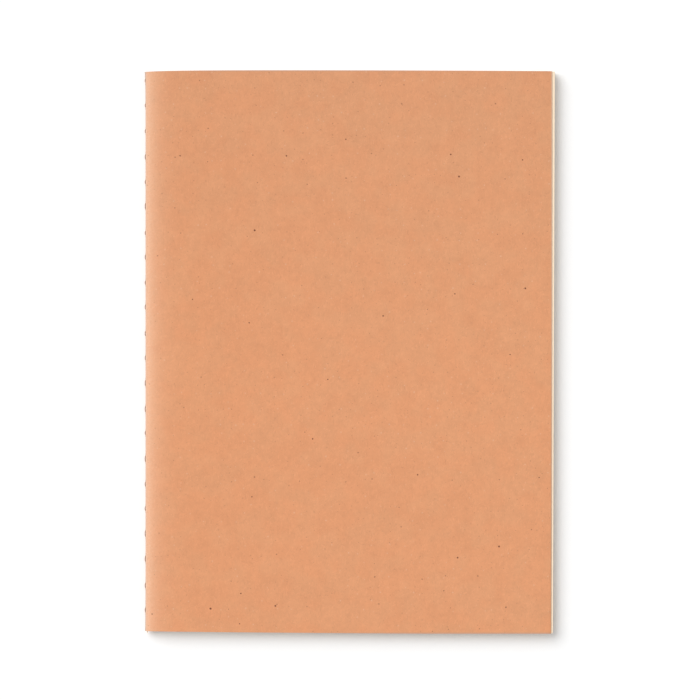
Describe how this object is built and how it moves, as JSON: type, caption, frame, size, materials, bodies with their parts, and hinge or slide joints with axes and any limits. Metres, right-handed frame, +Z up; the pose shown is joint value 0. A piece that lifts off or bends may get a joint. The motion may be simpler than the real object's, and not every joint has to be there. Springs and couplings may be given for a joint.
{
  "type": "thread-sewn notebook",
  "caption": "Slim portrait notebook: a plain folded card cover holding one section of blank sheets, sewn through the fold with a running stitch.",
  "frame": {"origin": "under the middle of the overall bounding box, on the surface that the closed notebook lies on", "axes": "+X from the fold to the fore edge, +Y from tail to head, +Z up, out of the front cover"},
  "size_m": [0.1488, 0.204, 0.005],
  "materials": {
    "kraft_card": "matt, uncoated, with fine fibres",
    "page_paper": "matt, uncoated",
    "brown_thread": "matt, plied"
  },
  "bodies": {
    "rear_cover": {"rear_cover": "kraft_card"},
    "rear_leaf_01": {"rear_leaf_01": "page_paper"},
    "rear_leaf_02": {"rear_leaf_02": "page_paper"},
    "rear_leaf_03": {"rear_leaf_03": "page_paper"},
    "rear_leaf_04": {"rear_leaf_04": "page_paper"},
    "rear_leaf_05": {"rear_leaf_05": "page_paper"},
    "rear_leaf_06": {"rear_leaf_06": "page_paper"},
    "rear_leaf_07": {"rear_leaf_07": "page_paper"},
    "rear_leaf_08": {"rear_leaf_08": "page_paper"},
    "rear_leaf_09": {"rear_leaf_09": "page_paper"},
    "rear_leaf_10": {"rear_leaf_10": "page_paper"},
    "rear_leaf_11": {"rear_leaf_11": "page_paper"},
    "rear_leaf_12": {"rear_leaf_12": "page_paper"},
    "front_leaf_12": {"front_leaf_12": "page_paper"},
    "front_leaf_11": {"front_leaf_11": "page_paper"},
    "front_leaf_10": {"front_leaf_10": "page_paper"},
    "front_leaf_09": {"front_leaf_09": "page_paper"},
    "front_leaf_08": {"front_leaf_08": "page_paper"},
    "front_leaf_07": {"front_leaf_07": "page_paper"},
    "front_leaf_06": {"front_leaf_06": "page_paper"},
    "front_leaf_05": {"front_leaf_05": "page_paper"},
    "front_leaf_04": {"front_leaf_04": "page_paper"},
    "front_leaf_03": {"front_leaf_03": "page_paper"},
    "front_leaf_02": {"front_leaf_02": "page_paper"},
    "front_leaf_01": {"front_leaf_01": "page_paper"},
    "front_cover": {"front_cover": "kraft_card"},
    "spine": {"cover_fold": "kraft_card", "page_fold": "page_paper", "sewing_thread": "brown_thread"}
  },
  "joints": [
    {"name": "rear_leaf_01_hinge", "type": "hinge", "parent": "rear_cover", "child": "rear_leaf_01", "pos_m": [-0.07336, 0, 0.0025], "axis": [0, -1, 0], "range_deg": [0, 180]},
    {"name": "rear_leaf_02_hinge", "type": "hinge", "parent": "rear_leaf_01", "child": "rear_leaf_02", "pos_m": [-0.07336, 0, 0.0025], "axis": [0, -1, 0], "range_deg": [0, 180]},
    {"name": "rear_leaf_03_hinge", "type": "hinge", "parent": "rear_leaf_02", "child": "rear_leaf_03", "pos_m": [-0.07336, 0, 0.0025], "axis": [0, -1, 0], "range_deg": [0, 180]},
    {"name": "rear_leaf_04_hinge", "type": "hinge", "parent": "rear_leaf_03", "child": "rear_leaf_04", "pos_m": [-0.07336, 0, 0.0025], "axis": [0, -1, 0], "range_deg": [0, 180]},
    {"name": "rear_leaf_05_hinge", "type": "hinge", "parent": "rear_leaf_04", "child": "rear_leaf_05", "pos_m": [-0.07336, 0, 0.0025], "axis": [0, -1, 0], "range_deg": [0, 180]},
    {"name": "rear_leaf_06_hinge", "type": "hinge", "parent": "rear_leaf_05", "child": "rear_leaf_06", "pos_m": [-0.07336, 0, 0.0025], "axis": [0, -1, 0], "range_deg": [0, 180]},
    {"name": "rear_leaf_07_hinge", "type": "hinge", "parent": "rear_leaf_06", "child": "rear_leaf_07", "pos_m": [-0.07336, 0, 0.0025], "axis": [0, -1, 0], "range_deg": [0, 180]},
    {"name": "rear_leaf_08_hinge", "type": "hinge", "parent": "rear_leaf_07", "child": "rear_leaf_08", "pos_m": [-0.07336, 0, 0.0025], "axis": [0, -1, 0], "range_deg": [0, 180]},
    {"name": "rear_leaf_09_hinge", "type": "hinge", "parent": "rear_leaf_08", "child": "rear_leaf_09", "pos_m": [-0.07336, 0, 0.0025], "axis": [0, -1, 0], "range_deg": [0, 180]},
    {"name": "rear_leaf_10_hinge", "type": "hinge", "parent": "rear_leaf_09", "child": "rear_leaf_10", "pos_m": [-0.07336, 0, 0.0025], "axis": [0, -1, 0], "range_deg": [0, 180]},
    {"name": "rear_leaf_11_hinge", "type": "hinge", "parent": "rear_leaf_10", "child": "rear_leaf_11", "pos_m": [-0.07336, 0, 0.0025], "axis": [0, -1, 0], "range_deg": [0, 180]},
    {"name": "rear_leaf_12_hinge", "type": "hinge", "parent": "rear_leaf_11", "child": "rear_leaf_12", "pos_m": [-0.07336, 0, 0.0025], "axis": [0, -1, 0], "range_deg": [0, 180]},
    {"name": "centre_hinge", "type": "hinge", "parent": "rear_leaf_12", "child": "front_leaf_12", "pos_m": [-0.07336, 0, 0.0025], "axis": [0, -1, 0], "range_deg": [0, 180]},
    {"name": "front_leaf_11_hinge", "type": "hinge", "parent": "front_leaf_12", "child": "front_leaf_11", "pos_m": [-0.07336, 0, 0.0025], "axis": [0, -1, 0], "range_deg": [0, 180]},
    {"name": "front_leaf_10_hinge", "type": "hinge", "parent": "front_leaf_11", "child": "front_leaf_10", "pos_m": [-0.07336, 0, 0.0025], "axis": [0, -1, 0], "range_deg": [0, 180]},
    {"name": "front_leaf_09_hinge", "type": "hinge", "parent": "front_leaf_10", "child": "front_leaf_09", "pos_m": [-0.07336, 0, 0.0025], "axis": [0, -1, 0], "range_deg": [0, 180]},
    {"name": "front_leaf_08_hinge", "type": "hinge", "parent": "front_leaf_09", "child": "front_leaf_08", "pos_m": [-0.07336, 0, 0.0025], "axis": [0, -1, 0], "range_deg": [0, 180]},
    {"name": "front_leaf_07_hinge", "type": "hinge", "parent": "front_leaf_08", "child": "front_leaf_07", "pos_m": [-0.07336, 0, 0.0025], "axis": [0, -1, 0], "range_deg": [0, 180]},
    {"name": "front_leaf_06_hinge", "type": "hinge", "parent": "front_leaf_07", "child": "front_leaf_06", "pos_m": [-0.07336, 0, 0.0025], "axis": [0, -1, 0], "range_deg": [0, 180]},
    {"name": "front_leaf_05_hinge", "type": "hinge", "parent": "front_leaf_06", "child": "front_leaf_05", "pos_m": [-0.07336, 0, 0.0025], "axis": [0, -1, 0], "range_deg": [0, 180]},
    {"name": "front_leaf_04_hinge", "type": "hinge", "parent": "front_leaf_05", "child": "front_leaf_04", "pos_m": [-0.07336, 0, 0.0025], "axis": [0, -1, 0], "range_deg": [0, 180]},
    {"name": "front_leaf_03_hinge", "type": "hinge", "parent": "front_leaf_04", "child": "front_leaf_03", "pos_m": [-0.07336, 0, 0.0025], "axis": [0, -1, 0], "range_deg": [0, 180]},
    {"name": "front_leaf_02_hinge", "type": "hinge", "parent": "front_leaf_03", "child": "front_leaf_02", "pos_m": [-0.07336, 0, 0.0025], "axis": [0, -1, 0], "range_deg": [0, 180]},
    {"name": "front_leaf_01_hinge", "type": "hinge", "parent": "front_leaf_02", "child": "front_leaf_01", "pos_m": [-0.07336, 0, 0.0025], "axis": [0, -1, 0], "range_deg": [0, 180]},
    {"name": "front_cover_hinge", "type": "hinge", "parent": "front_leaf_01", "child": "front_cover", "pos_m": [-0.07336, 0, 0.0025], "axis": [0, -1, 0], "range_deg": [0, 180]},
    {"name": "spine_swing", "type": "hinge", "parent": "rear_leaf_12", "child": "spine", "pos_m": [-0.07336, 0, 0.0025], "axis": [0, -1, 0], "range_deg": [0, 90]}
  ],
  "couplings": [
    {"joint": "spine_swing", "follows": "centre_hinge", "ratio": 0.5}
  ]
}
